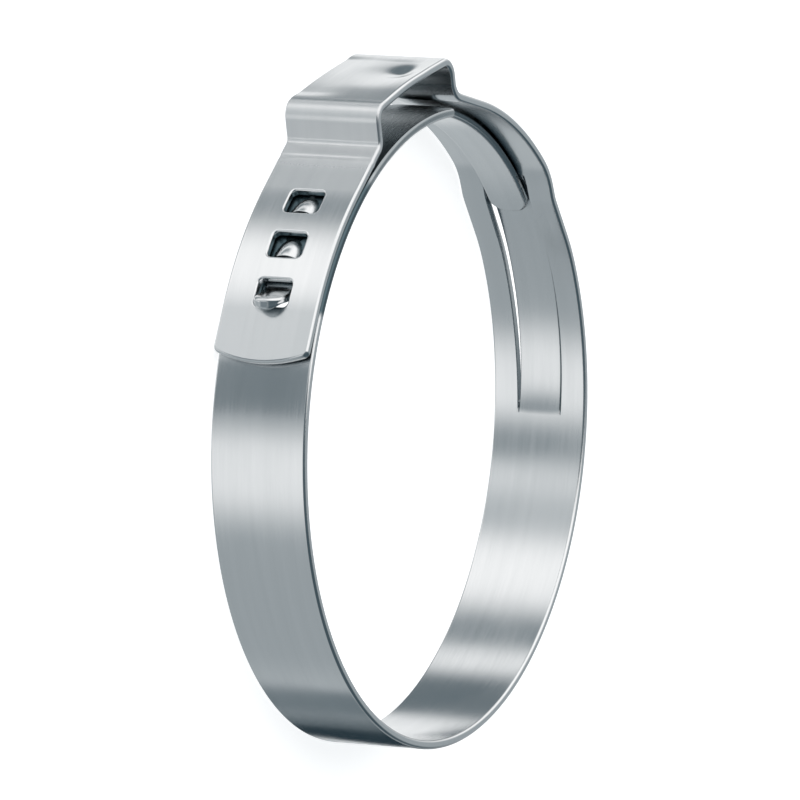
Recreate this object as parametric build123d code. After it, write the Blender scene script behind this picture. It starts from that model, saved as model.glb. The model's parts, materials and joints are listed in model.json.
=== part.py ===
from build123d import *
import os
from math import cos, hypot, radians, sin, tan

# Stepless ear clamp: one strip of stainless sheet, hooked onto itself.
# The bore runs along Z with its centre at the origin, the ear stands on +Y and the clamp
# lies on the edge at z = -BAND_WIDTH / 2. Lengths are in millimetres. Angles are in degrees,
# counter-clockwise from +X, and the strip is followed that way, from its tongue to its free end.

# Strip
BAND_WIDTH = 7.0
SHEET = 0.6
EDGE_BREAK = 0.14
NOMINAL_BORE = 42.0
BORE_PLAY = 0.08  # what the open clamp's wall stands outside its nominal radius
LAYER_GAP = 0.11  # between the inner band and the strap hooked over it

# Tongue, the narrowed inner end of the strip
TONGUE_WIDTH = 2.9
TONGUE_SIDE_PLAY = 0.1  # the tongue lies that far off the middle of its channel
TONGUE_TIP = 25.0
TONGUE_TIP_ROUND = 1.1
SHOULDER = 75.1
SHOULDER_ROUND = 0.35
ROOT_OVERLAP = 0.5  # angle over which a part of the strip runs into the next

# Channel that receives the tongue: two side rails at the bore, and a floor pressed outward
CHANNEL_START = -16.2
CHANNEL_END = 33.6
RAIL_SPACING = 3.5
FLOOR_WIDTH = 3.1
FLOOR_RISE = 0.3  # where the floor's ramp ends
RAMP_END = -13.2
RAIL_FLAT_START = 13.4
STEP_START = 28.2
STEP_END = 33.3
STEP_TANGENT = 36.4
FLAT_BEND = 12.0
STEP_FOOT_BEND = 1.8
STEP_HEAD_BEND = 4.6

# Ear: heights and legs are of its inner faces, from the bore's axis
EAR_RIGHT_LEG = 5.46
EAR_LEFT_LEG = 5.26
EAR_SHOULDER_HEIGHT = 24.06
EAR_CROWN_HEIGHT = 24.42
EAR_FOOT_ANGLE = 26.0  # each side of +Y, where the strip leaves its round
EAR_RIGHT_FOOT_BEND = 1.7
EAR_RIGHT_BEND = 0.95
EAR_CROWN_BEND = 40.0
EAR_LEFT_BEND = 0.6
EAR_LEFT_FOOT_BEND = 1.0
DIMPLE_LENGTH = 7.0
DIMPLE_WIDTH = 4.6
DIMPLE_DEPTH = 0.45
DIMPLE_OFFSET = 0.6
DIMPLE_BRIM = 2.5

# Strap end, with three windows over three hooks
STRAP_FLAT_START = 140.5
STRAP_FLAT_LENGTH = 3.72
STRAP_END_RADIUS = 9.0
STRAP_CORNER = 0.5
WINDOW_FIRST = 118.8
WINDOW_PITCH = 9.3
WINDOW_LENGTH = 1.9
WINDOW_WIDTH = 2.5
WINDOW_CORNER = 0.38
WINDOW_BREAK = 0.1
HOOK_HALF_WIDTH = 1.05
HOOK_LENGTH = 1.7
HOOK_RISE = 0.72
HOOK_DEPTH = 0.3  # of the dome's centre under the band's outside
HOOK_WALL = 0.4
HOOK_PLAY = 0.12  # between a hook's cut face and the window's edge
TAB_ROOT = 135.2
TAB_FOOT = 0.45
TAB_LENGTH = 2.9
TAB_TURN = 48.0
TAB_BEND = 0.9
TAB_WIDTH = 2.2
TAB_OPENING_WIDTH = 2.5

BORE_RADIUS = NOMINAL_BORE / 2 + BORE_PLAY
BAND_OUTSIDE = BORE_RADIUS + SHEET
STRAP_RADIUS = BAND_OUTSIDE + LAYER_GAP
STRAP_OUTSIDE = STRAP_RADIUS + SHEET
EAR_CROWN_OUTSIDE = EAR_CROWN_HEIGHT + SHEET


def polar(radius, angle):
    """Point at a radius and angle round the bore."""
    return Vector(radius * cos(radians(angle)), radius * sin(radians(angle)))


def along(angle, distance=1.0):
    """Step of that distance along the strip, square to the radius at an angle."""
    return polar(distance, angle + 90)


def facing_out(radius, angle):
    """Plane square to the radius: its x runs along the strip, its y across it, its z outward."""
    return Plane(origin=polar(radius, angle), x_dir=along(angle), z_dir=polar(1, angle))


def strip(curves, width):
    """Sheet whose bore-side face follows the curves, extruded to a width about z = 0."""
    line = Wire([edge for curve in curves for edge in curve.edges()])
    outline = make_face(offset(line, SHEET, side=Side.RIGHT))
    return extrude(outline, width / 2, both=True)


def ring_sector(inner, outer, start, end, width):
    """Curved block between two radii and two angles, centred on z = 0."""
    outline = Wire(
        [
            *CenterArc((0, 0), outer, start, end - start).edges(),
            *Line(polar(outer, end), polar(inner, end)).edges(),
            *CenterArc((0, 0), inner, start, end - start).edges(),
            *Line(polar(inner, start), polar(outer, start)).edges(),
        ]
    )
    return extrude(make_face(outline), width / 2, both=True)


def end_corners(body, radius, angle):
    """The two corner edges, through the sheet's thickness, of the body's end at that point."""
    end = body.faces().sort_by_distance(polar(radius + SHEET / 2, angle))[0]
    return end.edges().filter_by(Axis.Z, reverse=True)


def inner_band():
    """The inner level, from the shoulders round to the top of the channel's step."""
    flat_start = polar(BORE_RADIUS, RAIL_FLAT_START)
    step_tangent = polar(STRAP_RADIUS, STEP_TANGENT)
    head_run = STRAP_RADIUS * sin(radians(STEP_TANGENT - STEP_END))
    band = strip(
        [
            CenterArc((0, 0), BORE_RADIUS, SHOULDER, 360 + RAIL_FLAT_START - SHOULDER),
            FilletPolyline(
                flat_start,
                flat_start + along(RAIL_FLAT_START),
                polar(BORE_RADIUS, STEP_START),
                step_tangent - along(STEP_TANGENT, head_run),
                step_tangent,
                radius=[FLAT_BEND, STEP_FOOT_BEND, STEP_HEAD_BEND],
            ),
        ],
        BAND_WIDTH,
    )
    return fillet(end_corners(band, BORE_RADIUS, SHOULDER), SHOULDER_ROUND)


def ear_leave(side):
    """Where the strip leaves its round to run straight to the ear's leg; side is 1 on +X."""
    return polar(STRAP_RADIUS, 90 - side * EAR_FOOT_ANGLE)


def ear_foot(side, leg):
    """Corner where that straight run meets the inner face of the leg."""
    leave = ear_leave(side)
    return Vector(side * leg, leave.Y + (side * leave.X - leg) * tan(radians(EAR_FOOT_ANGLE)))


def outer_level():
    """Over the tongue, up and round the ear, and down the strap to its flat end."""
    ear_right = 90 - EAR_FOOT_ANGLE
    ear_left = 90 + EAR_FOOT_ANGLE
    return strip(
        [
            CenterArc((0, 0), STRAP_RADIUS, STEP_TANGENT, ear_right - STEP_TANGENT),
            FilletPolyline(
                ear_leave(1),
                ear_foot(1, EAR_RIGHT_LEG),
                (EAR_RIGHT_LEG, EAR_SHOULDER_HEIGHT),
                (0, EAR_CROWN_HEIGHT),
                (-EAR_LEFT_LEG, EAR_SHOULDER_HEIGHT),
                ear_foot(-1, EAR_LEFT_LEG),
                ear_leave(-1),
                radius=[
                    EAR_RIGHT_FOOT_BEND,
                    EAR_RIGHT_BEND,
                    EAR_CROWN_BEND,
                    EAR_LEFT_BEND,
                    EAR_LEFT_FOOT_BEND,
                ],
            ),
            CenterArc((0, 0), STRAP_RADIUS, ear_left, STRAP_FLAT_START - ear_left),
        ],
        BAND_WIDTH,
    )


def strap_end():
    """Flat end of the strap: its free edge is an arc and its corners are rounded."""
    run = facing_out(STRAP_RADIUS, STRAP_FLAT_START)
    tip = Pos(STRAP_FLAT_LENGTH - STRAP_END_RADIUS, 0) * Circle(STRAP_END_RADIUS)
    sheet = Rectangle(STRAP_FLAT_LENGTH, BAND_WIDTH, align=(Align.MIN, Align.CENTER))
    plan = sheet & tip
    corners = plan.vertices().sort_by(Axis.X)[-2:]
    return extrude(run * fillet(corners, STRAP_CORNER), SHEET)


def break_rims(body):
    """Take the sharpness off the strip's two long rims, at its lowest and highest z."""
    rims = body.faces().filter_by(Axis.Z).edges()
    return chamfer(rims, EDGE_BREAK)


def is_on_skin(point):
    """Whether a point is on the inner band's inside or outside face."""
    radius = hypot(point.X, point.Y)
    return min(abs(radius - BORE_RADIUS), abs(radius - BAND_OUTSIDE)) < EDGE_BREAK / 10


def tongue():
    """Narrow inner end of the strip, its tip rounded in plan and its edges broken."""
    blade = ring_sector(BORE_RADIUS, BAND_OUTSIDE, TONGUE_TIP, SHOULDER + ROOT_OVERLAP, TONGUE_WIDTH)
    blade = fillet(end_corners(blade, BORE_RADIUS, TONGUE_TIP), TONGUE_TIP_ROUND)
    outline = blade.edges().filter_by(lambda edge: is_on_skin(edge @ 0.5))
    return Pos(0, 0, -TONGUE_SIDE_PLAY) * chamfer(outline, EDGE_BREAK)


def channel_cut():
    """Cutter for the space between the two rails."""
    return ring_sector(
        BORE_RADIUS - SHEET, STRAP_OUTSIDE + SHEET, CHANNEL_START, CHANNEL_END, RAIL_SPACING
    )


def channel_floor():
    """Floor of the channel, from its ramp out of the band up to the strap's level."""
    foot_radius = BORE_RADIUS + FLOOR_RISE
    foot = polar(foot_radius, RAMP_END)
    middle = polar((foot_radius + STRAP_RADIUS) / 2, (RAMP_END + CHANNEL_END) / 2)
    return strip(
        [
            Line(polar(BORE_RADIUS, CHANNEL_START), foot),
            ThreePointArc(foot, middle, polar(STRAP_RADIUS, CHANNEL_END)),
        ],
        FLOOR_WIDTH,
    )


def window(angle):
    """Cutter for one window through the strap, with the outer edge broken."""
    plan = RectangleRounded(WINDOW_LENGTH, WINDOW_WIDTH, WINDOW_CORNER)
    mouth = offset(plan, 2 * WINDOW_BREAK)
    through = extrude(facing_out(BAND_OUTSIDE + LAYER_GAP / 2, angle) * plan, SHEET + 3 * LAYER_GAP)
    outside = facing_out(STRAP_OUTSIDE, angle)
    flare = loft([outside.offset(-WINDOW_BREAK) * plan, outside.offset(WINDOW_BREAK) * mouth])
    return through + flare


def support_hook(angle):
    """Half dome drawn out of the inner band, as (material, pocket): it faces the strap's free end."""
    cut = facing_out(BAND_OUTSIDE - HOOK_DEPTH, angle) * Pos(WINDOW_LENGTH / 2 - HOOK_PLAY, 0)
    rise = HOOK_RISE + HOOK_DEPTH
    size = 2 * HOOK_LENGTH
    ear_side = Box(size, size, size, align=(Align.MAX, Align.CENTER, Align.CENTER))
    outside = Vector(HOOK_LENGTH, HOOK_HALF_WIDTH, rise)
    inside = outside - Vector(HOOK_WALL, HOOK_WALL, HOOK_WALL)
    dome = scale(Sphere(1), tuple(outside)) & ear_side
    pocket = scale(Sphere(1), tuple(inside)) & ear_side
    band_middle = BORE_RADIUS + SHEET / 2
    start, end = angle - WINDOW_PITCH, angle + WINDOW_PITCH
    above = ring_sector(band_middle, 2 * STRAP_OUTSIDE, start, end, BAND_WIDTH)
    return cut * dome & above, cut * pocket


def tab_hook():
    """Half-round tab cut from the inner band and bent out through the last window."""
    root = polar(BORE_RADIUS, TAB_ROOT)
    bend = root + along(TAB_ROOT, TAB_FOOT)
    tip = bend + along(TAB_ROOT - TAB_TURN, TAB_LENGTH)
    blade = strip([FilletPolyline(root, bend, tip, radius=TAB_BEND)], TAB_WIDTH)
    end = blade.faces().sort_by_distance(tip)[0]
    return fillet(end.edges().filter_by(Axis.Z, reverse=True), TAB_WIDTH / 2 - 0.02)


def tab_opening():
    """Cutter for the hole that the tab leaves in the inner band."""
    straight = TAB_FOOT + TAB_LENGTH - TAB_OPENING_WIDTH / 2
    plan = Rectangle(straight, TAB_OPENING_WIDTH, align=(Align.MIN, Align.CENTER))
    plan += Pos(straight, 0) * Circle(TAB_OPENING_WIDTH / 2)
    return extrude(facing_out(BORE_RADIUS - SHEET, TAB_ROOT) * plan, 2 * SHEET + LAYER_GAP / 2)


def bowl(grow):
    """Elongated bowl whose lowest point lies under the ear's crown; grow thickens it."""
    long_radius = ((DIMPLE_LENGTH / 2) ** 2 + DIMPLE_DEPTH**2) / (2 * DIMPLE_DEPTH)
    cross_radius = ((DIMPLE_WIDTH / 2) ** 2 + DIMPLE_DEPTH**2) / (2 * DIMPLE_DEPTH)
    bottom = EAR_CROWN_OUTSIDE - DIMPLE_DEPTH
    circle = Pos(DIMPLE_OFFSET, bottom + long_radius) * Circle(long_radius + grow)
    half_plane = Rectangle(2 * DIMPLE_LENGTH, 2 * DIMPLE_LENGTH, align=(Align.CENTER, Align.MAX))
    below_axis = Pos(DIMPLE_OFFSET, bottom + cross_radius) * half_plane
    return revolve(circle & below_axis, Axis((0, bottom + cross_radius, 0), (1, 0, 0)), 360)


def is_on_brim(edge):
    """Whether an edge of the pressed clamp is where the bowl meets the crown's outside."""
    middle = edge @ 0.5
    near = Box(DIMPLE_LENGTH + SHEET, SHEET, DIMPLE_WIDTH + SHEET)
    around = (Pos(DIMPLE_OFFSET, EAR_CROWN_OUTSIDE) * near).bounding_box()
    inside = around.min.X < middle.X < around.max.X and around.min.Y < middle.Y < around.max.Y
    return inside and around.min.Z < middle.Z < around.max.Z and edge.geom_type != GeomType.LINE


def press_dimple(body):
    """Press a shallow dimple into the ear's crown, with a soft brim."""
    under_crown = Box(EAR_LEFT_LEG + EAR_RIGHT_LEG - 2 * SHEET, 2, BAND_WIDTH - SHEET)
    pushed_in = bowl(SHEET) & Pos(0, EAR_CROWN_HEIGHT + SHEET / 2 - 1) * under_crown
    pressed = body + pushed_in - bowl(0)
    return fillet(pressed.edges().filter_by(is_on_brim), DIMPLE_BRIM)


def clamp_band():
    """The whole clamp, as one solid."""
    band = break_rims(inner_band() + outer_level() + strap_end())
    band = band - channel_cut() + channel_floor() + tongue()
    for i in range(3):
        band -= window(WINDOW_FIRST + i * WINDOW_PITCH)
    for i in range(2):
        dome, pocket = support_hook(WINDOW_FIRST + i * WINDOW_PITCH)
        band = band + dome - pocket
    band = band - tab_opening() + tab_hook()
    return press_dimple(band)


if __name__ == "__main__":
    os.makedirs("parts", exist_ok=True)
    export_step(clamp_band(), "parts/clamp_band.step")
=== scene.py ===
"""The ear hose clamp's looks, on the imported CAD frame.

The clamp is one strip of stainless steel, so the visible piece is that strip as the press makes it:
a flat blank with its cuts, given its thickness and rounded edges, then bent and pressed to shape.
Everything is worked out in millimetres and degrees, and turned into metres at the end.
"""

import json
import math

import bmesh
import bpy
from mathutils import Matrix, Vector
from mathutils.geometry import delaunay_2d_cdt
from mathutils.kdtree import KDTree

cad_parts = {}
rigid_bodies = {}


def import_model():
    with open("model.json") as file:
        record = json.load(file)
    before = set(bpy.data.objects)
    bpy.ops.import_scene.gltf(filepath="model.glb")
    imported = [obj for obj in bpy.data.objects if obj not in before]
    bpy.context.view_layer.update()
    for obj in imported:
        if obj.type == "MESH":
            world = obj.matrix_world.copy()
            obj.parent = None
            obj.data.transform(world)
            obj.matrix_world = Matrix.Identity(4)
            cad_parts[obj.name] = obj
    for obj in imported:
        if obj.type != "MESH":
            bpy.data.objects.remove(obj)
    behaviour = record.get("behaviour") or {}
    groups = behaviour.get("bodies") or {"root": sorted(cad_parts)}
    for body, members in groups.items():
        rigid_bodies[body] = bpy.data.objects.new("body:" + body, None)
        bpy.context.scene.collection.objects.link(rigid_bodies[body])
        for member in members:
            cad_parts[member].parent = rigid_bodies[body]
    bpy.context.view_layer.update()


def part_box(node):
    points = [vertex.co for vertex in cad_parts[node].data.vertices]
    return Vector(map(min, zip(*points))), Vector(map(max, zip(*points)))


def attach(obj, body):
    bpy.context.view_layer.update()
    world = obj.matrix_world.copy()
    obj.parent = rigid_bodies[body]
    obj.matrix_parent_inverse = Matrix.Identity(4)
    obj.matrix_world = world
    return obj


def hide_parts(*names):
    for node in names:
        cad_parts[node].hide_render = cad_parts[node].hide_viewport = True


MM = 0.001

# ---------------------------------------------------------------------------------------------
# The strip, in millimetres and degrees. The sizes are the CAD part's own, apart from those whose
# comment says what the CAD part has. It is followed from the tip of its tongue to its free end:
# s is the way along it and z the way across.

BAND_WIDTH = 7.0
SHEET = 0.6
BORE_RADIUS = 21.07  # the CAD part has 21.08, and its facets cut off its extremes
LAYER_GAP = 0.11
STRAP_RADIUS = BORE_RADIUS + SHEET + LAYER_GAP

TONGUE_TIP = 25.0
TONGUE_EDGES = (-1.55, 1.35)
TONGUE_TIP_ROUND = 1.1
TONGUE_ROOT_ROUND = 0.2
SHOULDER = 75.1
SHOULDER_ROUND = 0.35

CHANNEL_START = -17.0  # the CAD part has -16.2
CHANNEL_END = 33.6
RAIL_SPACING = 3.5
SLIT_TAPER = 0.12  # off a slit's width at its ends; the CAD part has even slits
FLOOR_WIDTH = 3.1
FLOOR_RISE = 0.3
RAMP_ANGLE = 9.0  # the CAD part has a straight ramp over 3.0
RAMP_ARCH = 0.9  # how much further on the ramp starts at the floor's middle
RAMP_SHARPNESS = 1.8
CHANNEL_FADE = 2.5  # before the channel's end, where the floor's own lift fades out
RAIL_FLAT_START = 13.4
STEP_START = 28.2
STEP_END = 33.3
STEP_TANGENT = 36.4
STEP_BENDS = (12.0, 1.8, 4.6)

EAR_RIGHT_LEG = 5.46
EAR_LEFT_LEG = 5.26
EAR_SHOULDER_HEIGHT = 24.06
EAR_CROWN_HEIGHT = 24.42
EAR_FOOT_ANGLE = 26.0
EAR_BENDS = (1.7, 0.95, 40.0, 0.6, 1.0)

STRAP_FLAT_START = 140.5
STRAP_FLAT_LENGTH = 3.72
STRAP_END_RADIUS = 9.0
STRAP_CORNER = 0.5
WINDOW_FIRST = 118.8
WINDOW_PITCH = 9.3
WINDOW_LENGTH = 1.9
WINDOW_WIDTH = 2.5
WINDOW_CORNER = 0.38
HOOK_HALF_WIDTH = 1.05
HOOK_LENGTH = 1.7
HOOK_RISE = 0.7  # the CAD part has 0.72
HOOK_LANCE = 0.08
HOOK_LANCE_SHARE = 0.97  # of the hook's width
HOOK_PLAY = 0.12
TAB_ROOT = 135.2
TAB_FOOT = 0.45
TAB_LENGTH = 2.9
TAB_TURN = 48.0
TAB_BEND = 0.9
TAB_WIDTH = 2.2
TAB_PLAY = 0.15

# What the press and the tools leave. A pair is the middle and width of a soft bump,
# or the two ends of a smooth change.
BOWL_DEPTH = 0.2  # the crown's dimple is a wide bowl and a narrow pinch; the CAD part has one bowl
BOWL_X = (1.0, 2.4)
BOWL_Z = (0.7, 1.9)
PINCH_DEPTH = 0.27
PINCH_X = (1.4, 1.1)
PINCH_Z = (1.9, 0.85)
CROWN_EDGE = (4.6, 3.4)
BACK_DROP = 0.16
BACK_START = 0.5
FOOT_MARK_DEPTH = 0.05
FOOT_MARK_BACK = 3.05  # from the end of the ear's runs
FOOT_MARK_BOW = 0.01
FOOT_MARK_WIDTH = 0.16
TAB_CURL = 0.2
TAB_CURL_ENDS = (0.3, 1.6)
TAB_THINNING = (1.0, 2.8)
TAB_EDGE_THINNER = 0.34
TAB_MIDDLE_THICKER = 0.3

# Painted shade, dark where the strap and the ear hide the band and inside the ear: angles of the inner
# level, then ways from the ear's start and to its end
PAINTED_SHADE_UNDER_EAR = (62, 84)
PAINTED_SHADE_UNDER_STRAP = (108, 113)
PAINTED_SHADE_END = (139.5, 141)
PAINTED_SHADE_IN_EAR = (7.5, 13)
PAINTED_SHADE_EAR_END = (3.4, 2.6)
PAINTED_SHADE_OFF_HOOK = (0.1, 0.4)
PAINTED_SHADE_UNDER_EAR_SHARE = 0.6
OUTER_FACE = (0.2, 0.4)  # share of the sheet's thickness


def polar(radius, angle):
    return radius * math.cos(math.radians(angle)), radius * math.sin(math.radians(angle))


def stepped(point, heading, distance):
    """The point that distance on, in a heading in radians."""
    return point[0] + distance * math.cos(heading), point[1] + distance * math.sin(heading)


def heading_of(start, end):
    return math.atan2(end[1] - start[1], end[0] - start[0])


def straight(start, end):
    """A straight run, as (length, function of the way along it that gives x, y and heading)."""
    heading = heading_of(start, end)
    return math.dist(start, end), lambda way: (*stepped(start, heading, way), heading)


def arc(centre, radius, start, sweep):
    """An arc, counter-clockwise where the sweep is positive, as straight gives a run."""
    side = math.copysign(1, sweep)

    def at(way):
        angle = start + side * way / radius
        return (*stepped(centre, angle, radius), angle + side * math.pi / 2)

    return radius * abs(sweep), at


def ring_arc(radius, start, end):
    return arc((0, 0), radius, math.radians(start), math.radians(end - start))


def rounded_runs(points, bends):
    """Straight runs through the points, with an arc of each bend's radius at a point between."""
    runs = []
    here = points[0]
    for before, corner, after, bend in zip(points, points[1:], points[2:], bends):
        way_in = heading_of(before, corner)
        way_out = heading_of(corner, after)
        turn = (way_out - way_in + math.pi) % (2 * math.pi) - math.pi
        side = math.copysign(1, turn)
        tangent = bend * math.tan(abs(turn) / 2)
        start = stepped(corner, way_in, -tangent)
        centre = stepped(start, way_in + side * math.pi / 2, bend)
        runs += [straight(here, start), arc(centre, bend, way_in - side * math.pi / 2, turn)]
        here = stepped(corner, way_out, tangent)
    return runs + [straight(here, points[-1])]


def follow(runs, way):
    """x, y and heading that way along the runs; past the last one's end it runs on."""
    for length, at in runs[:-1]:
        if way <= length:
            return at(way)
        way -= length
    return runs[-1][1](way)


def step_runs():
    """The rails' flat and the step up to the outer level."""
    flat_start = polar(BORE_RADIUS, RAIL_FLAT_START)
    top = polar(STRAP_RADIUS, STEP_TANGENT)
    head_run = STRAP_RADIUS * math.sin(math.radians(STEP_TANGENT - STEP_END))
    points = [
        flat_start,
        stepped(flat_start, math.radians(RAIL_FLAT_START + 90), 1.0),
        polar(BORE_RADIUS, STEP_START),
        stepped(top, math.radians(STEP_TANGENT + 90), -head_run),
        top,
    ]
    return rounded_runs(points, STEP_BENDS)


def ear_runs():
    """The ear's feet, legs and crown."""
    right = polar(STRAP_RADIUS, 90 - EAR_FOOT_ANGLE)
    left = polar(STRAP_RADIUS, 90 + EAR_FOOT_ANGLE)
    slope = math.tan(math.radians(EAR_FOOT_ANGLE))
    points = [
        right,
        (EAR_RIGHT_LEG, right[1] + (right[0] - EAR_RIGHT_LEG) * slope),
        (EAR_RIGHT_LEG, EAR_SHOULDER_HEIGHT),
        (0, EAR_CROWN_HEIGHT),
        (-EAR_LEFT_LEG, EAR_SHOULDER_HEIGHT),
        (-EAR_LEFT_LEG, left[1] + (-left[0] - EAR_LEFT_LEG) * slope),
        left,
    ]
    return rounded_runs(points, EAR_BENDS)


def total(runs):
    return sum(length for length, _ in runs)


BAND_RUNS = [ring_arc(BORE_RADIUS, TONGUE_TIP, 360 + RAIL_FLAT_START)]
STEP_RUNS = step_runs()
OVER_RUNS = [ring_arc(STRAP_RADIUS, STEP_TANGENT, 90 - EAR_FOOT_ANGLE)]
EAR_RUNS = ear_runs()
STRAP_RUNS = [ring_arc(STRAP_RADIUS, 90 + EAR_FOOT_ANGLE, STRAP_FLAT_START)]
FLAT_END = polar(STRAP_RADIUS, STRAP_FLAT_START)
END_RUNS = [straight(FLAT_END, stepped(FLAT_END, math.radians(STRAP_FLAT_START + 90), STRAP_FLAT_LENGTH))]
STRIP_RUNS = BAND_RUNS + STEP_RUNS + OVER_RUNS + EAR_RUNS + STRAP_RUNS + END_RUNS
EAR_START = total(BAND_RUNS + STEP_RUNS + OVER_RUNS)
EAR_END = EAR_START + total(EAR_RUNS)
STRIP_END = total(STRIP_RUNS)
LEFT_LEG = EAR_START + total(EAR_RUNS[:8])  # way along the strip to the top of the ear's left leg


def band_way(angle):
    """Way along the strip at an angle of its inner level."""
    return BORE_RADIUS * math.radians(angle - TONGUE_TIP)


def strap_way(angle):
    """Way along the strip at an angle of the strap."""
    return EAR_END + STRAP_RADIUS * math.radians(angle - 90 - EAR_FOOT_ANGLE)


CHANNEL_START_WAY = band_way(360 + CHANNEL_START)
CHANNEL_END_WAY = band_way(360 + CHANNEL_END)


def tab_runs():
    """The tab's foot, its bend and its blade."""
    root = follow(STRIP_RUNS, band_way(TAB_ROOT))[:2]
    corner = stepped(root, math.radians(TAB_ROOT + 90), TAB_FOOT)
    tip = stepped(corner, math.radians(TAB_ROOT + 90 - TAB_TURN), TAB_LENGTH)
    return rounded_runs([root, corner, tip], (TAB_BEND,))


TAB_RUNS = tab_runs()
TAB_END_WAY = band_way(TAB_ROOT) + TAB_FOOT + TAB_LENGTH


# ---------------------------------------------------------------------------------------------
# The blank: the strip's outline and holes, laid flat


def rounded_loop(corners, step=math.radians(9)):
    """Closed outline through (s, z, radius) corners, each rounded by its radius."""
    loop = []
    count = len(corners)
    for i, (s, z, radius) in enumerate(corners):
        before = corners[i - 1][:2]
        after = corners[(i + 1) % count][:2]
        if not radius:
            loop.append((s, z))
            continue
        way_in = heading_of(before, (s, z))
        way_out = heading_of((s, z), after)
        turn = (way_out - way_in + math.pi) % (2 * math.pi) - math.pi
        side = math.copysign(1, turn)
        start = stepped((s, z), way_in, -radius * math.tan(abs(turn) / 2))
        centre = stepped(start, way_in + side * math.pi / 2, radius)
        parts = max(2, math.ceil(abs(turn) / step))
        for k in range(parts + 1):
            loop.append(stepped(centre, way_in - side * math.pi / 2 + turn * k / parts, radius))
    return loop


def strap_tip():
    """Corners of the strap's free end, an arc between two small rounds."""
    half = BAND_WIDTH / 2
    edge = math.asin(half / STRAP_END_RADIUS)
    centre = STRIP_END - STRAP_END_RADIUS
    parts = 12
    corners = []
    for k in range(parts + 1):
        angle = edge * (2 * k / parts - 1)
        s, z = stepped((centre, 0), angle, STRAP_END_RADIUS)
        corners.append((s, z, STRAP_CORNER if k in (0, parts) else 0))
    return corners


def outline():
    """The blank's outside: tongue, shoulders, band and strap end."""
    half = BAND_WIDTH / 2
    low, high = TONGUE_EDGES
    root = band_way(SHOULDER)
    return rounded_loop(
        [
            (0, low, TONGUE_TIP_ROUND),
            (root, low, TONGUE_ROOT_ROUND),
            (root, -half, SHOULDER_ROUND),
            *strap_tip(),
            (root, half, SHOULDER_ROUND),
            (root, high, TONGUE_ROOT_ROUND),
            (0, high, TONGUE_TIP_ROUND),
        ]
    )


def slit(side):
    """Cut between a rail and the channel's floor: it is narrower towards its two ends."""
    floor = side * FLOOR_WIDTH / 2
    rail = side * RAIL_SPACING / 2
    parts = 24
    loop = [(CHANNEL_START_WAY, floor), (CHANNEL_END_WAY, floor)]
    for k in range(parts + 1):
        share = 1 - k / parts
        s = CHANNEL_START_WAY + share * (CHANNEL_END_WAY - CHANNEL_START_WAY)
        loop.append((s, rail - side * SLIT_TAPER * (2 * share - 1) ** 2))
    return loop if side > 0 else loop[::-1]


def window(number):
    middle = strap_way(WINDOW_FIRST + number * WINDOW_PITCH)
    s0, s1 = middle - WINDOW_LENGTH / 2, middle + WINDOW_LENGTH / 2
    z = WINDOW_WIDTH / 2
    return rounded_loop([(s, y, WINDOW_CORNER) for s, y in ((s0, -z), (s1, -z), (s1, z), (s0, z))])


def hook_cut(number):
    """Way along the strip at a support hook's cut face."""
    return band_way(WINDOW_FIRST + number * WINDOW_PITCH) + WINDOW_LENGTH / 2 - HOOK_PLAY


def hook_lance(number):
    cut = hook_cut(number)
    z = HOOK_HALF_WIDTH * HOOK_LANCE_SHARE
    return [(cut, -z), (cut + HOOK_LANCE, -z), (cut + HOOK_LANCE, z), (cut, z)]


def tab_lance():
    """The U cut that frees the tab: the opening's outline, and back along the tab's own."""
    root = band_way(TAB_ROOT)
    inner = TAB_WIDTH / 2
    outer = inner + TAB_PLAY
    centre = TAB_END_WAY - outer
    parts = 16
    turn = [math.pi * (k / parts - 0.5) for k in range(parts + 1)]
    around = [(root, -outer)] + [stepped((centre, 0), a, outer) for a in turn] + [(root, outer)]
    back = [(root, inner)] + [stepped((centre, 0), -a, inner) for a in turn] + [(root, -inner)]
    return around + back


def lerp(a, b, share):
    return a + (b - a) * share


def smooth(low, high, value):
    """0 below low, 1 above high, with a smooth rise between."""
    share = min(1, max(0, (value - low) / (high - low)))
    return share * share * (3 - 2 * share)


def bump(value, middle, width):
    return math.exp(-(((value - middle) / width) ** 2))


# ---------------------------------------------------------------------------------------------
# What is pressed into the strip, as a rise of the sheet out of its plain run


def channel_rise(s, z, angle, radius):
    """Lift of the channel's floor over its rails; the ramp's crease is arched."""
    if not CHANNEL_START_WAY <= s <= CHANNEL_END_WAY or abs(z) > (FLOOR_WIDTH + RAIL_SPACING) / 4:
        return 0
    ramp_end = CHANNEL_START + RAMP_ANGLE
    crease = CHANNEL_START + RAMP_ARCH * (1 - (2 * z / FLOOR_WIDTH) ** 2)
    ramp = max(0, angle - crease) / RAMP_ANGLE
    ramp = 1 - math.exp(-RAMP_SHARPNESS * ramp)
    level = lerp(BORE_RADIUS + FLOOR_RISE, STRAP_RADIUS, (angle - ramp_end) / (CHANNEL_END - ramp_end))
    floor = BORE_RADIUS + ramp * (level - BORE_RADIUS)
    return (floor - radius) * (1 - smooth(CHANNEL_END - CHANNEL_FADE, CHANNEL_END, angle))


def hook_rise(s, z):
    rise = 0
    for number in range(2):
        behind = hook_cut(number) + HOOK_LANCE / 2 - s
        if 0 <= behind < HOOK_LENGTH:
            q = (behind / HOOK_LENGTH) ** 2 + (z / HOOK_HALF_WIDTH) ** 2
            if q < 1:
                rise = HOOK_RISE * (1 - q)
    return rise


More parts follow.
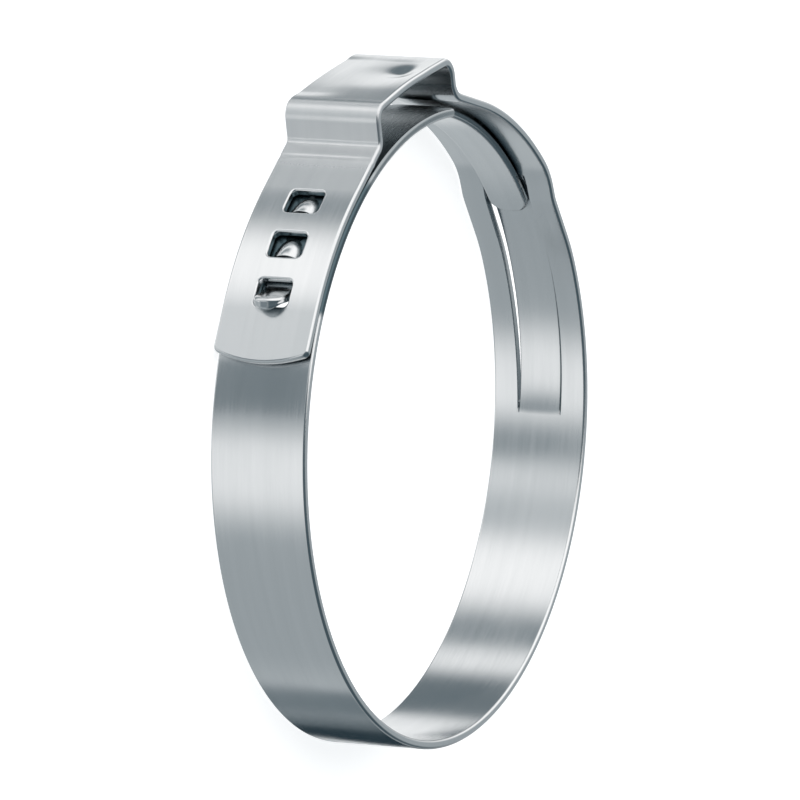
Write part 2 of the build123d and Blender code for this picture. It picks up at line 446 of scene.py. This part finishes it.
def ear_rise(s, z, x):
    """The crown's soft dimple and its lower back rim."""
    if not EAR_START < s < EAR_END:
        return 0
    crown = smooth(*CROWN_EDGE, abs(x))
    bowl = -BOWL_DEPTH * bump(x, *BOWL_X) * bump(z, *BOWL_Z)
    pinch = PINCH_DEPTH * bump(x, *PINCH_X) * bump(z, *PINCH_Z)
    back = -BACK_DROP * smooth(BACK_START, -BAND_WIDTH / 2, z) * (1 - (x / EAR_RIGHT_LEG) ** 2)
    return crown * (bowl - pinch + back)


def foot_mark(s, z):
    """The tool's mark across the strip at the ear's left foot, slightly bowed."""
    return -FOOT_MARK_DEPTH * bump(s, EAR_END - FOOT_MARK_BACK + FOOT_MARK_BOW * z * z, FOOT_MARK_WIDTH)


def in_tab(s, z):
    """Whether a point of the blank is on the tab, inside the middle of its cut."""
    half = (TAB_WIDTH + TAB_PLAY) / 2
    centre = TAB_END_WAY - TAB_WIDTH / 2 - TAB_PLAY
    before_round = s < centre or (s - centre) ** 2 + z * z < half * half
    return s > band_way(TAB_ROOT) and abs(z) < half and before_round


def painted_shade(s, z, t):
    """Painted shade: how dark the surface is painted where the strap or the ear hides it and inside the
    ear, from 0 to 1.
    """
    outside = smooth(*OUTER_FACE, t / SHEET)
    past_ear = smooth(*map(band_way, PAINTED_SHADE_UNDER_STRAP), s)
    under_strap = past_ear * (1 - smooth(*map(band_way, PAINTED_SHADE_END), s))
    under_ear = PAINTED_SHADE_UNDER_EAR_SHARE * (1 - past_ear) * smooth(*map(band_way, PAINTED_SHADE_UNDER_EAR), s)
    hidden = outside * max(under_strap * (1 - smooth(*PAINTED_SHADE_OFF_HOOK, hook_rise(s, z))), under_ear)
    from_start = smooth(*(EAR_START + way for way in PAINTED_SHADE_IN_EAR), s)
    in_ear = from_start * (1 - smooth(*(EAR_END - way for way in PAINTED_SHADE_EAR_END), s))
    return 0 if in_tab(s, z) else max(hidden, in_ear * (1 - outside))


def strip_point(s, z, t):
    """Place in space of a point of the blank, t from its bore-side face."""
    if in_tab(s, z):
        way = s - band_way(TAB_ROOT)
        x, y, heading = follow(TAB_RUNS, way)
        edge = (2 * z / TAB_WIDTH) ** 2
        under = 1 - t / SHEET
        rise = -TAB_CURL * smooth(*TAB_CURL_ENDS, way) * edge
        thinning = TAB_EDGE_THINNER * edge - TAB_MIDDLE_THICKER * (1 - edge)
        rise += under * smooth(*TAB_THINNING, way) * thinning
    else:
        x, y, heading = follow(STRIP_RUNS, s)
        angle = math.degrees(math.atan2(y, x))
        rise = channel_rise(s, z, angle, math.hypot(x, y)) + hook_rise(s, z)
        rise = rise + ear_rise(s, z, x) + foot_mark(s, z)
    out = heading - math.pi / 2
    x, y = stepped((x, y), out, t + rise)
    return Vector((x, y, z))


# ---------------------------------------------------------------------------------------------
# The mesh

# each edge's rounding as ((inset, height) on the bore side, (inset, height) outside)
RIM_ROUND = ((0.18, 0.22), (0.18, 0.26))
SLIT_ROUND = ((0.07, 0.07), (0.07, 0.07))
WINDOW_ROUND = ((0.17, 0.17), (0.17, 0.17))
LANCE_ROUND = ((0.05, 0.05), (0.05, 0.05))
TAB_ROUND = ((0.2, 0.2), (0.2, 0.2))
ROUND_PARTS = 4

PLAIN_STEP = 0.45
ACROSS_STEP = 0.8
BEND_STEP = math.radians(4)
CLEARANCE = 0.45  # of the step, from a rim to the nearest point inside it
CLEARANCE_STEP = 0.3  # the largest step that it is taken of
CREASE_STEP = 0.06
HOOK_STEP = 0.09
TAB_STEP = 0.13
EAR_STEP = 0.2
LEAST_STEP = 0.02
MITRE_LIMIT = 2.0
NEAR = 0.004  # the step of the differences that give a normal


def stretches():
    """(start, end, half width, step) of each stretch with pressed detail."""
    found = [(CHANNEL_START_WAY - 0.1, CHANNEL_START_WAY + 1.0, FLOOR_WIDTH / 2, CREASE_STEP)]
    for number in range(2):
        cut = hook_cut(number)
        found.append((cut - HOOK_LENGTH, cut + 0.1, HOOK_HALF_WIDTH, HOOK_STEP))
    found += [(band_way(TAB_ROOT), TAB_END_WAY, TAB_WIDTH / 2, TAB_STEP)]
    found += [(EAR_START + 3.0, EAR_END - 2.4, BAND_WIDTH / 2, EAR_STEP)]
    return found


STRETCHES = stretches()


def step_at(s):
    """Spacing of the mesh along the strip, close at the bends and the pressed details."""
    step = PLAIN_STEP
    for start, end, _, fine in STRETCHES:
        if start <= s <= end:
            step = min(step, fine)
    way = s
    for length, at in STRIP_RUNS:
        if way <= length:
            turn = abs(at(length)[2] - at(0)[2])
            return min(step, length * BEND_STEP / turn) if turn else step
        way -= length
    return step


def mesh_places():
    places = [0]
    while places[-1] < STRIP_END:
        places.append(places[-1] + step_at(places[-1]))
    return places[1:-1]


def refined(loop, places):
    """The loop with points added where it runs past a place, and along its cross edges."""
    fine = []
    for i, (s, z) in enumerate(loop):
        s0, z0 = loop[i - 1]
        if abs(s - s0) > abs(z - z0):
            between = [p for p in places if min(s, s0) + LEAST_STEP < p < max(s, s0) - LEAST_STEP]
            fine += [(p, lerp(z0, z, (p - s0) / (s - s0))) for p in (between if s > s0 else between[::-1])]
        else:
            parts = math.ceil(abs(z - z0) / step_at(s))
            fine += [(lerp(s0, s, k / parts), lerp(z0, z, k / parts)) for k in range(1, parts)]
        if math.dist((s, z), (s0, z0)) > 1e-4:
            fine.append((s, z))
    return fine


def facings(loop):
    """Direction out of the material at each point of a loop, and how far a mitre reaches."""
    found = []
    for i, point in enumerate(loop):
        way_in = heading_of(loop[i - 1], point)
        way_out = heading_of(point, loop[(i + 1) % len(loop)])
        turn = (way_out - way_in + math.pi) % (2 * math.pi) - math.pi
        found.append((way_in + turn / 2 - math.pi / 2, min(MITRE_LIMIT, 1 / math.cos(turn / 2))))
    return found


def quarter(inset, height):
    """Quarter of an ellipse from a face to the edge, as (inset, height, outward and upward facing)."""
    rows = []
    for k in range(ROUND_PARTS + 1):
        angle = math.pi / 2 * k / ROUND_PARTS
        facing = Vector((math.sin(angle) / inset, -math.cos(angle) / height)).normalized()
        rows.append((inset * (1 - math.sin(angle)), height * (1 - math.cos(angle)), *facing))
    return rows


def round_profile(bore_side, outside):
    """Rows of an edge's rounding, from the bore-side face to the outer face."""
    upper = [(inset, SHEET - height, out, -up) for inset, height, out, up in quarter(*outside)]
    return quarter(*bore_side) + upper[::-1]


def blank_loops():
    """(outline or hole, rounding of its edge): material is on the left of each."""
    loops = [(outline(), RIM_ROUND)]
    loops += [(slit(side), SLIT_ROUND) for side in (-1, 1)]
    loops += [(window(number), WINDOW_ROUND) for number in range(3)]
    loops += [(hook_lance(number), LANCE_ROUND) for number in range(2)]
    loops += [(tab_lance(), TAB_ROUND)]
    return [(loop if i == 0 else loop[::-1], rounding) for i, (loop, rounding) in enumerate(loops)]


def within(s, z, loop):
    """Whether a point is inside a closed loop."""
    inside = False
    for (s0, z0), (s1, z1) in zip(loop, loop[1:] + loop[:1]):
        if (z0 > z) != (z1 > z) and s < s0 + (z - z0) / (z1 - z0) * (s1 - s0):
            inside = not inside
    return inside


def in_any(s, z, loops):
    return any(low < s < high and within(s, z, loop) for low, high, loop in loops)


def inside_points(places, rims, holes):
    """Points of the blank's two faces, clear of its rims."""
    tree = KDTree(len(rims))
    for i, (s, z) in enumerate(rims):
        tree.insert((s, z, 0), i)
    tree.balance()
    points = []
    most = int(BAND_WIDTH / 2 / ACROSS_STEP)
    for s in places:
        rows = {round(k * ACROSS_STEP, 4) for k in range(-most, most + 1)}
        for start, end, half, step in STRETCHES:
            if start <= s <= end:
                parts = math.ceil(2 * half / step)
                rows |= {round(half * (2 * k / parts - 1), 4) for k in range(parts + 1)}
        last = -BAND_WIDTH
        for z in sorted(rows):
            clear = CLEARANCE * min(step_at(s), CLEARANCE_STEP)
            if tree.find((s, z, 0))[2] > clear and z - last > clear and not in_any(s, z, holes):
                points.append((s, z))
                last = z
    return points


def blank(bm, facing):
    """Closed flat blank in bm, with each vertex's facing in the layer."""
    places = mesh_places()
    rims, rings, edges, holes = [], [], [], []
    for loop, rounding in blank_loops():
        loop = refined(loop, places)
        out = facings(loop)
        rows = []
        for inset, height, outward, upward in round_profile(*rounding):
            row = []
            for (s, z), (angle, reach) in zip(loop, out):
                place = stepped((s, z), angle, -inset * reach)
                vertex = bm.verts.new((*place, height))
                vertex[facing] = (outward * math.cos(angle), outward * math.sin(angle), upward)
                row.append(vertex)
            rows.append(row)
        for lower, upper in zip(rows, rows[1:]):
            for i in range(len(loop)):
                bm.faces.new((lower[i - 1], lower[i], upper[i], upper[i - 1]))
        first = len(rims)
        edges += [(first + i, first + (i + 1) % len(loop)) for i in range(len(loop))]
        rims += [tuple(v.co.xy) for v in rows[0]]
        rings.append((rows[0], rows[-1]))
        if len(rings) > 1:
            ways = [vertex.co.x for vertex in rows[0]]
            holes.append((min(ways), max(ways), [tuple(vertex.co.xy) for vertex in rows[0]]))
    inside = inside_points(places, rims, holes)
    flat = [Vector(p) for p in rims + inside]
    points, _, triangles, origins, _, _ = delaunay_2d_cdt(flat, edges, [], 1, 1e-6)
    middles = [sum((points[i] for i in triangle), Vector((0, 0))) / 3 for triangle in triangles]
    triangles = [t for t, middle in zip(triangles, middles) if not in_any(*middle, holes)]
    for side, height in ((0, 0), (1, SHEET)):
        corners = [v for ring in rings for v in ring[side]]
        for s, z in inside:
            vertex = bm.verts.new((s, z, height))
            vertex[facing] = (0, 0, 2 * side - 1)
            corners.append(vertex)
        for triangle in triangles:
            ids = [origins[i][0] for i in triangle]
            bm.faces.new([corners[i] for i in (ids if side else ids[::-1])])
    loose = [v for v in bm.verts if not v.link_faces]
    bmesh.ops.delete(bm, geom=loose, context="VERTS")


def bent(s, z, t, facing):
    """Place in space of a point of the blank, and its normal."""
    # differences are taken into the material, so that they don't reach across a cut
    ds = NEAR if facing.x <= 0 else -NEAR
    dz = NEAR if facing.y <= 0 else -NEAR
    here = strip_point(s, z, t)
    along = (strip_point(s + ds, z, t) - here) / ds
    across = (strip_point(s, z + dz, t) - here) / dz
    out = along.cross(across).normalized()
    normal = along.normalized() * facing.x + across.normalized() * facing.y + out * facing.z
    return here * MM, normal.normalized()


def build_strip():
    """The clamp, bent from its blank; its map keeps the blank's own lengths for the grain."""
    bm = bmesh.new()
    facing = bm.verts.layers.float_vector.new("facing")
    unrolled = bm.loops.layers.uv.new("unrolled")
    blank(bm, facing)
    for face in bm.faces:
        face.smooth = True
        for loop in face.loops:
            loop[unrolled].uv = loop.vert.co.xy
    # painted shade: each vertex keeps how dark it is painted where the strap and the ear hide it
    dark = bm.verts.layers.float.new("painted_shade")
    normals = []
    for vertex in bm.verts:
        vertex[dark] = painted_shade(*vertex.co)
        vertex.co, normal = bent(*vertex.co, vertex[facing].normalized())
        normals.append(normal)
    mesh = bpy.data.meshes.new("clamp_strip")
    bm.to_mesh(mesh)
    bm.free()
    mesh.normals_split_custom_set_from_vertices(normals)
    strip = bpy.data.objects.new("clamp_strip", mesh)
    bpy.context.collection.objects.link(strip)
    return strip


# ---------------------------------------------------------------------------------------------
# Materials


class Nodes:
    """A node tree with short calls for adding and joining nodes."""

    def __init__(self, tree):
        self.tree = tree
        tree.nodes.clear()

    def add(self, kind, **settings):
        node = self.tree.nodes.new("ShaderNode" + kind)
        for name, value in settings.items():
            setattr(node, name, value)
        return node

    def feed(self, socket, source):
        """Join a socket, node or number to an input."""
        if isinstance(source, bpy.types.Node):
            source = source.outputs[0]
        if isinstance(source, bpy.types.NodeSocket):
            self.tree.links.new(source, socket)
        else:
            socket.default_value = source

    def math(self, operation, *inputs):
        node = self.add("Math", operation=operation)
        for socket, source in zip(node.inputs, inputs):
            self.feed(socket, source)
        return node

    def fit(self, value, low, high, to_low=0.0, to_high=1.0):
        node = self.add("MapRange", interpolation_type="SMOOTHSTEP")
        for socket, source in zip(node.inputs, (value, low, high, to_low, to_high)):
            self.feed(socket, source)
        return node

    def mix(self, share, a, b):
        node = self.add("Mix", data_type="RGBA")
        for name, kind, source in (("Factor", "VALUE", share), ("A", "RGBA", a), ("B", "RGBA", b)):
            socket = next(s for s in node.inputs if s.name == name and s.type == kind)
            self.feed(socket, source)
        return node.outputs[2]

    def noise(self, place, scale, detail=4.0, roughness=0.5):
        node = self.add("TexNoise")
        self.feed(node.inputs["Vector"], place)
        node.inputs["Scale"].default_value = scale
        node.inputs["Detail"].default_value = detail
        node.inputs["Roughness"].default_value = roughness
        return node.outputs["Fac"]


STEEL_DULL = (0.785, 0.792, 0.796, 1)
STEEL_BRIGHT = (0.815, 0.82, 0.824, 1)
# Painted shade: the crevices' grey, and the dark teal of the parts that the strap and the ear hide
PAINTED_CREVICE_SHADE = (0.33, 0.37, 0.39, 1)
PAINTED_SHADE_TONE = (0.1, 0.145, 0.165, 1)
GRAIN_STRETCH = (0.16, 7.0, 1.0)
STREAK_STRETCH = (0.03, 1.1, 1.0)
CREVICE_REACH = 0.5 * MM
BUMP_HEIGHT = 0.004 * MM
PINCH_IN = (-1.6, -0.4)  # from the top of the ear's left leg, which the tool has dulled
PINCH_OUT = (3.4, 5.0)
PINCH_ROUGHNESS = 0.2
PAINTED_SHADE_ROUGHNESS = 0.15


def steel():
    """Bright rolled stainless strip: fine grain along it and rubbed patches, with painted shade in its
    crevices and where the strap and the ear hide it.
    """
    material = bpy.data.materials.new("rolled_stainless")
    material.use_nodes = True
    nodes = Nodes(material.node_tree)
    out = nodes.add("OutputMaterial")
    shader = nodes.add("BsdfPrincipled")
    nodes.feed(out.inputs["Surface"], shader)

    unrolled = nodes.add("UVMap", uv_map="unrolled")
    grain_place = nodes.add("Mapping")
    nodes.feed(grain_place.inputs["Vector"], unrolled)
    grain_place.inputs["Scale"].default_value = GRAIN_STRETCH
    grain = nodes.noise(grain_place, 1.6, 6, 0.62)
    streak_place = nodes.add("Mapping")
    nodes.feed(streak_place.inputs["Vector"], unrolled)
    streak_place.inputs["Scale"].default_value = STREAK_STRETCH
    streaks = nodes.noise(streak_place, 1.0, 3)
    place = nodes.add("TexCoord").outputs["Object"]
    patches = nodes.noise(place, 160, 3)
    pits = nodes.noise(place, 2600, 2)

    # Painted shade: the base colour darkens towards a grey in crevices and narrow gaps, as far as the
    # occlusion reaches
    crevice = nodes.add("AmbientOcclusion", samples=8)
    crevice.inputs["Distance"].default_value = CREVICE_REACH
    open_share = nodes.fit(crevice.outputs["AO"], 0.35, 0.95)
    tone = nodes.fit(streaks, 0.3, 0.7)
    clean = nodes.mix(tone, STEEL_DULL, STEEL_BRIGHT)
    shade = nodes.mix(open_share, PAINTED_CREVICE_SHADE, clean)
    # Painted shade: the parts that the strap and the ear hide are painted dark teal, and made rougher
    painted_shade_mask = nodes.add("Attribute", attribute_name="painted_shade")
    nodes.feed(shader.inputs["Base Color"], nodes.mix(painted_shade_mask.outputs["Fac"], shade, PAINTED_SHADE_TONE))
    shader.inputs["Metallic"].default_value = 1.0

    rubbed = nodes.fit(patches, 0.35, 0.65, 0.15, 0.2)
    rough = nodes.math("ADD", rubbed, nodes.fit(grain, 0.3, 0.7, -0.02, 0.04))
    way = nodes.add("SeparateXYZ")
    nodes.feed(way.inputs[0], unrolled)
    pinch_start = nodes.fit(way, *(LEFT_LEG + part for part in PINCH_IN))
    pinch_end = nodes.fit(way, *(LEFT_LEG + part for part in PINCH_OUT), 1.0, 0.0)
    pinched = nodes.math("MULTIPLY", nodes.math("MULTIPLY", pinch_start, pinch_end), PINCH_ROUGHNESS)
    rough = nodes.math("ADD", rough, pinched)
    rough = nodes.math("ADD", rough, nodes.math("MULTIPLY", painted_shade_mask.outputs["Fac"], PAINTED_SHADE_ROUGHNESS))
    nodes.feed(shader.inputs["Roughness"], rough)

    bump = nodes.add("Bump")
    bump.inputs["Strength"].default_value = 0.14
    bump.inputs["Distance"].default_value = BUMP_HEIGHT
    height = nodes.math("ADD", grain, nodes.math("MULTIPLY", pits, 0.1))
    nodes.feed(bump.inputs["Height"], height)
    nodes.feed(shader.inputs["Normal"], bump)
    return material


# ---------------------------------------------------------------------------------------------
# The studio

PHOTO_TURN = 19.3  # degrees from the frame's own +X to the direction that the azimuths are from

# The photograph shows no studio. These stand in for one: the names are made up, and the azimuths and
# greys were set to brightness measured round the photographed band, then adjusted until renders
# came near it. (Name, first and last azimuth of full brightness, grey that the steel shows.)
PANELS = [
    ("backdrop", 0, 6, 0.8),
    ("strip light", 24, 37, 0.9),
    ("grey gap", 48, 69, 0.41),
    ("edge light", 82, 85, 0.92),
    ("grey gap", 94, 100, 0.52),
    ("large softbox", 118, 131, 0.955),
    ("its dim side", 146, 151, 0.69),
    ("fill card", 160, 163, 0.82),
    ("grey gap", 173, 176, 0.54),
    ("side softbox", 191, 203, 0.88),
    ("grey gap", 224, 227, 0.6),
    ("wall", 240, 270, 0.6),
    ("lit wall", 296, 326, 0.67),
    ("backdrop edge", 342, 356, 0.8),
]
OVERHEAD = [  # the same for what is higher up, set by comparing renders with the photograph
    ("high backdrop", 0, 8, 0.6),
    ("top softbox", 40, 150, 0.97),
    ("dark camera side", 168, 200, 0.34),
    ("dark side", 230, 335, 0.3),
    ("high backdrop", 350, 355, 0.6),
]
HEIGHTS = (-0.15, 0.35)  # z of the direction, where the panels end and the overhead ones begin
STEEL_GREY = 0.8
DARK_TINT = (-0.062, 0.012, 0.05)  # on red, green and blue: the photographed darks are teal


def shown(grey):
    """Linear light of a panel that shows as that grey; the darker, the more teal."""
    colour = []
    for tint in DARK_TINT:
        value = min(1, max(0, grey + tint * (1 - grey)))
        linear = value / 12.92 if value <= 0.04045 else ((value + 0.055) / 1.055) ** 2.4
        colour.append(linear / STEEL_GREY)
    return (*colour, 1)


def panels(nodes, share, row):
    """Colour of a row of panels round the clamp, by the share of a full turn."""
    around = nodes.add("ValToRGB")
    nodes.feed(around.inputs[0], share)
    ramp = around.color_ramp
    ramp.interpolation = "EASE"
    ramp.elements.remove(ramp.elements[1])
    stops = [(azimuth, grey) for _, start, end, grey in row for azimuth in (start, end)]
    stops.append((360, row[0][3]))
    for i, (azimuth, grey) in enumerate(stops):
        stop = ramp.elements.new(azimuth / 360) if i else ramp.elements[0]
        stop.position = azimuth / 360
        stop.color = shown(grey)
    return around.outputs[0]


def studio():
    world = bpy.data.worlds.new("studio")
    bpy.context.scene.world = world
    world.use_nodes = True
    nodes = Nodes(world.node_tree)
    out = nodes.add("OutputWorld")
    light = nodes.add("Background")
    nodes.feed(out.inputs["Surface"], light)
    direction = nodes.add("SeparateXYZ")
    nodes.feed(direction.inputs[0], nodes.add("TexCoord").outputs["Generated"])
    x, y, z = direction.outputs
    turned = nodes.math("ADD", nodes.math("ARCTAN2", y, x), math.radians(PHOTO_TURN + 360))
    share = nodes.math("FRACT", nodes.math("DIVIDE", turned, 2 * math.pi))
    above = nodes.fit(z, *HEIGHTS)
    all_round = nodes.mix(above, panels(nodes, share, PANELS), panels(nodes, share, OVERHEAD))
    ray = nodes.add("LightPath").outputs
    seen = nodes.math("MAXIMUM", ray["Is Camera Ray"], ray["Is Transmission Ray"])
    nodes.feed(light.inputs["Color"], nodes.mix(seen, all_round, (1, 1, 1, 1)))


FLOOR_GLOW = 0.8
FLOOR_WHITE = (0.9, 0.9, 0.9, 1)
FLOOR_SIZE = 6


def floor():
    """White for the camera, with the clamp's soft shadow; the steel shows the studio's panels."""
    bpy.ops.mesh.primitive_plane_add(size=FLOOR_SIZE, location=(0, 0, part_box("clamp_band")[0][2]))
    plane = bpy.context.object
    plane.name = "floor"
    material = bpy.data.materials.new("floor")
    material.use_nodes = True
    nodes = Nodes(material.node_tree)
    out = nodes.add("OutputMaterial")
    white = nodes.add("Emission")
    white.inputs["Strength"].default_value = FLOOR_GLOW
    paper = nodes.add("BsdfDiffuse")
    paper.inputs["Color"].default_value = FLOOR_WHITE
    both = nodes.add("AddShader")
    nodes.feed(both.inputs[0], white)
    nodes.feed(both.inputs[1], paper)
    nodes.feed(out.inputs["Surface"], both)
    plane.data.materials.append(material)
    plane.visible_glossy = False
    plane.visible_shadow = False
    plane.visible_diffuse = False


# (what it is, two ends of its foot in millimetres in the photograph's turn, lowest and highest z,
# grey), placed to bring renders near the photograph
CARDS = [
    ("card_below_strap", (-28, 0.6), (-28, 7.6), -7.5, 1, 0.46),
    ("grey_card_at_bottom", (-9, -30), (6, -30), -15, 2, 0.44),
    ("black_card_at_bottom", (-2, -30), (36, -30), -15, 2, 0.16),
]
CARD_SOFTNESS = 0.14  # of share * (1 - share) across a card, where it is full


def cards():
    """Small cards held near the clamp, which only its reflections show."""
    turn = Matrix.Rotation(math.radians(-PHOTO_TURN), 3, "Z")
    for name, start, end, low, high, grey in CARDS:
        corners = [(*start, low), (*end, low), (*end, high), (*start, high)]
        mesh = bpy.data.meshes.new(name)
        mesh.from_pydata([turn @ Vector(corner) * MM for corner in corners], [], [(0, 1, 2, 3)])
        across = mesh.uv_layers.new(name="across")
        for loop, share in zip(across.data, (0, 1, 1, 0)):
            loop.uv = (share, 0)
        card = bpy.data.objects.new(name, mesh)
        bpy.context.collection.objects.link(card)
        material = bpy.data.materials.new(name)
        material.use_nodes = True
        nodes = Nodes(material.node_tree)
        light = nodes.add("Emission")
        light.inputs["Color"].default_value = shown(grey)
        across = nodes.add("SeparateXYZ")
        nodes.feed(across.inputs[0], nodes.add("UVMap", uv_map="across"))
        from_end = nodes.math("MULTIPLY", across, nodes.math("SUBTRACT", 1.0, across))
        soft = nodes.add("MixShader")
        nodes.feed(soft.inputs[0], nodes.fit(from_end, 0.0, CARD_SOFTNESS))
        nodes.feed(soft.inputs[1], nodes.add("BsdfTransparent"))
        nodes.feed(soft.inputs[2], light)
        nodes.feed(nodes.add("OutputMaterial").inputs["Surface"], soft)
        mesh.materials.append(material)
        card.visible_camera = False
        card.visible_diffuse = False
        card.visible_shadow = False


# Fitted to the photographed band's outline: places in millimetres, and the camera's own axes
BORE_CENTRE = Vector((-0.07, -0.26, 0.064))
CAMERA_PLACE = Vector((-641.0, 19.8, 316.05))
CAMERA_RIGHT = Vector((0.44324, 0.05189, 0.8949))
CAMERA_UP = Vector((0.0, 0.99832, -0.05788))
CAMERA_BACK = Vector((-0.8964, 0.02565, 0.4425))
CAMERA_LENS = 476.1


def camera():
    """At the photograph's own viewing angle: it was rolled so that the ear is uppermost."""
    turn = Matrix.Rotation(math.radians(-PHOTO_TURN), 3, "Z")
    place = turn @ (CAMERA_PLACE - BORE_CENTRE)
    right = turn @ CAMERA_RIGHT
    up = turn @ CAMERA_UP
    back = turn @ CAMERA_BACK
    data = bpy.data.cameras.new("camera")
    eye = bpy.data.objects.new("camera", data)
    bpy.context.collection.objects.link(eye)
    matrix = Matrix((right, up, back)).transposed().to_4x4()
    matrix.translation = place * MM
    eye.matrix_world = matrix
    data.sensor_width = 36
    data.lens = CAMERA_LENS
    data.clip_start = 0.05
    data.clip_end = 20
    bpy.context.scene.camera = eye


# ---------------------------------------------------------------------------------------------
# The scene


def main():
    for leftover in list(bpy.data.objects):
        bpy.data.objects.remove(leftover)
    bpy.context.scene.view_settings.view_transform = "Standard"
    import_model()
    camera()
    studio()
    floor()
    cards()
    strip = build_strip()
    strip.data.materials.append(steel())
    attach(strip, "root")
    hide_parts("clamp_band")


main()
